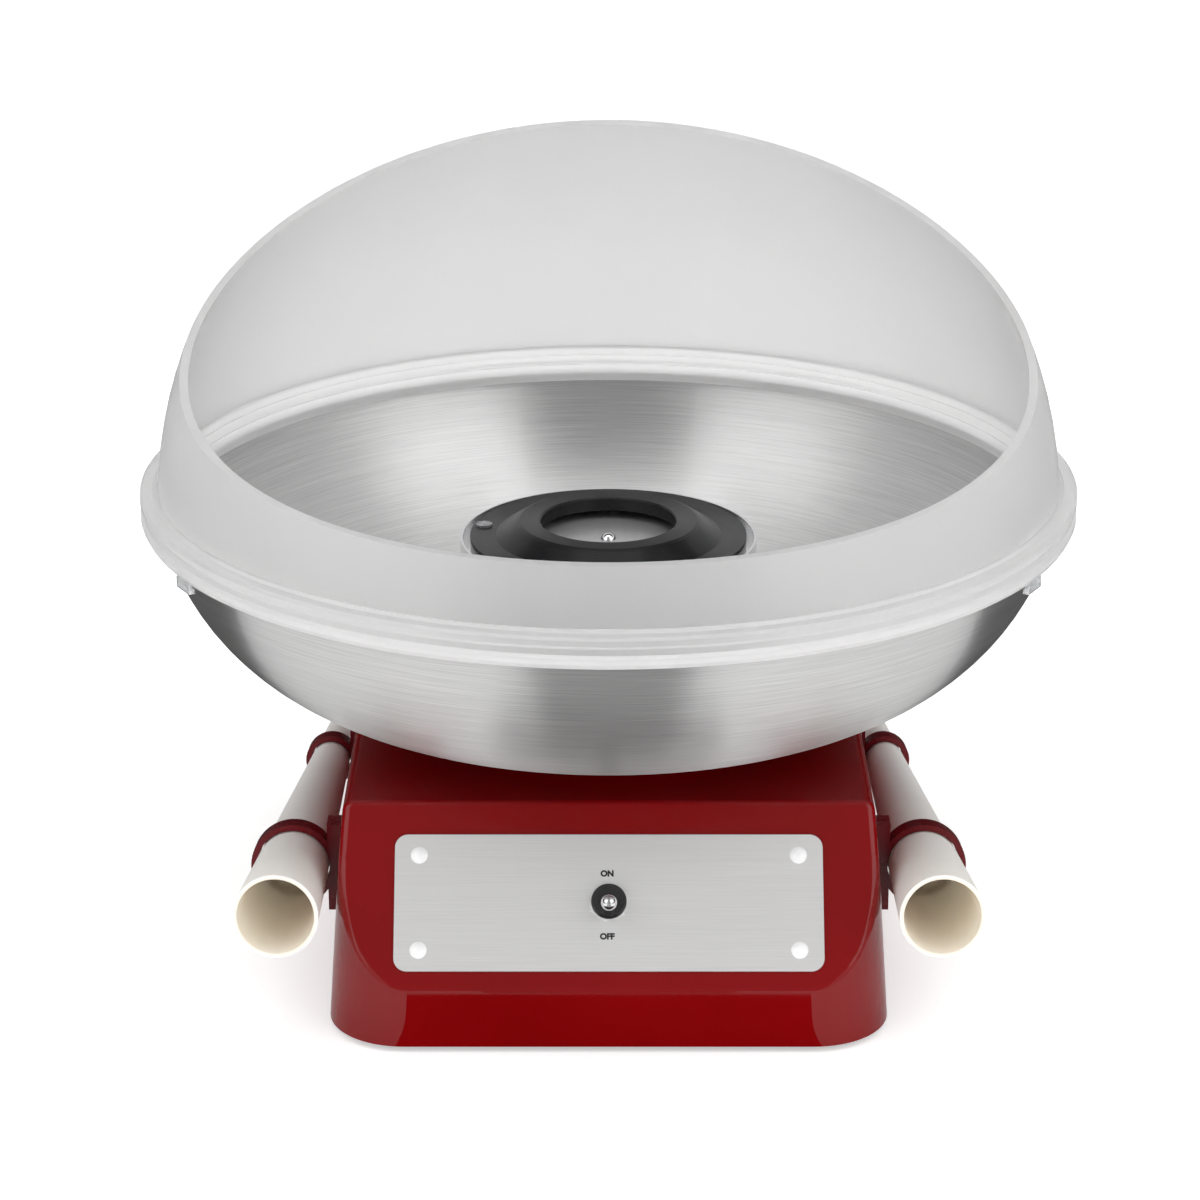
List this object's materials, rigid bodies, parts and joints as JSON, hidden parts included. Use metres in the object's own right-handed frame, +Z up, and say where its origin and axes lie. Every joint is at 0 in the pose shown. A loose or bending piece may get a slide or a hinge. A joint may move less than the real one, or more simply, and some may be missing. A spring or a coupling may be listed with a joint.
{
  "type": "cotton candy machine",
  "caption": "Tabletop cotton candy machine: red sloped base with a toggle switch, steel bowl round a spinning head, frosted dome shield, and hollow cones held at the sides.",
  "frame": {"origin": "on the bowl's axis at the level of the rubber feet's undersides", "axes": "+Z up along the bowl's and the motor's axis, -Y towards the sloped control panel at the front, +X to the right as seen from the front"},
  "size_m": [0.298, 0.298, 0.2392],
  "materials": {
    "housing_red": "gloss",
    "holder_red": "satin gloss",
    "bowl_steel": "concentric brushed",
    "plate_steel": "straight brushed",
    "shield_frosted": "frosted translucent",
    "clip_clear": "clear",
    "head_black": "satin",
    "tower_black": "matt",
    "dish_aluminium": "turned",
    "bright_chrome": "polished",
    "pin_white": "gloss",
    "pin_grey": "satin",
    "cone_ivory": "satin",
    "foot_rubber": "matt",
    "switch_black": "satin",
    "zinc_steel": "zinc plated",
    "bronze": "sintered",
    "ferrite": "matt",
    "ceramic_white": "matt",
    "cover_black": "grained"
  },
  "bodies": {
    "base": {"base_housing": "housing_red", "bottom_cover": "cover_black", "rubber_feet": "foot_rubber", "bottom_cover_screws": "zinc_steel", "control_plate": "plate_steel", "plate_pins": "pin_white", "switch_body": "switch_black", "switch_bushing": "switch_black", "switch_pivot_pin": "zinc_steel", "switch_lock_nut": "zinc_steel", "switch_ring_nut": "switch_black", "heater_housing": "tower_black", "heater_pan": "dish_aluminium", "heater_element": "zinc_steel", "heater_insulators": "ceramic_white", "thermal_fuse": "ceramic_white", "motor_can": "zinc_steel", "motor_magnet": "ferrite", "motor_end_cap": "cover_black", "motor_bearings": "bronze", "motor_mount_plate": "zinc_steel", "motor_isolators": "foot_rubber", "motor_screws": "zinc_steel", "tower_screws": "zinc_steel", "terminal_block": "ceramic_white", "cord_gland": "foot_rubber", "right_front_holder": "holder_red", "right_rear_holder": "holder_red", "left_front_holder": "holder_red", "left_rear_holder": "holder_red", "holder_push_nuts": "zinc_steel"},
    "rotor": {"drive_shaft": "zinc_steel", "drive_pin": "zinc_steel", "motor_armature": "ferrite", "cooling_fan": "cover_black"},
    "head": {"extractor_dish": "dish_aluminium", "extractor_cover": "head_black", "extractor_screen": "dish_aluminium", "head_pins": "pin_grey", "sugar_well": "dish_aluminium", "head_cap_nut": "bright_chrome"},
    "bowl": {"bowl": "bowl_steel"},
    "shield": {"shield": "shield_frosted", "shield_clips": "clip_clear"},
    "right_cone": {"right_cone": "cone_ivory"},
    "left_cone": {"left_cone": "cone_ivory"},
    "lever": {"switch_lever": "bright_chrome"}
  },
  "joints": [
    {"name": "rotor_spin", "type": "hinge", "parent": "base", "child": "rotor", "pos_m": [0, 0, 0.04], "axis": [0, 0, 1], "continuous": true},
    {"name": "head_lift", "type": "slide", "parent": "rotor", "child": "head", "axis": [0, 0, 1], "range_m": [0, 0.04]},
    {"name": "bowl_lift", "type": "slide", "parent": "base", "child": "bowl", "axis": [0, 0, 1], "range_m": [0, 0.12]},
    {"name": "shield_lift", "type": "slide", "parent": "bowl", "child": "shield", "axis": [0, 0, 1], "range_m": [0, 0.1]},
    {"name": "right_cone_slide", "type": "slide", "parent": "base", "child": "right_cone", "axis": [0.0227, -0.9919, 0.125], "range_m": [0, 0.2]},
    {"name": "left_cone_slide", "type": "slide", "parent": "base", "child": "left_cone", "axis": [-0.0227, -0.9919, 0.125], "range_m": [0, 0.2]},
    {"name": "switch_toggle", "type": "hinge", "parent": "base", "child": "lever", "pos_m": [0, -0.10032, 0.04299], "axis": [-1, 0, 0], "range_deg": [0, 24]}
  ]
}
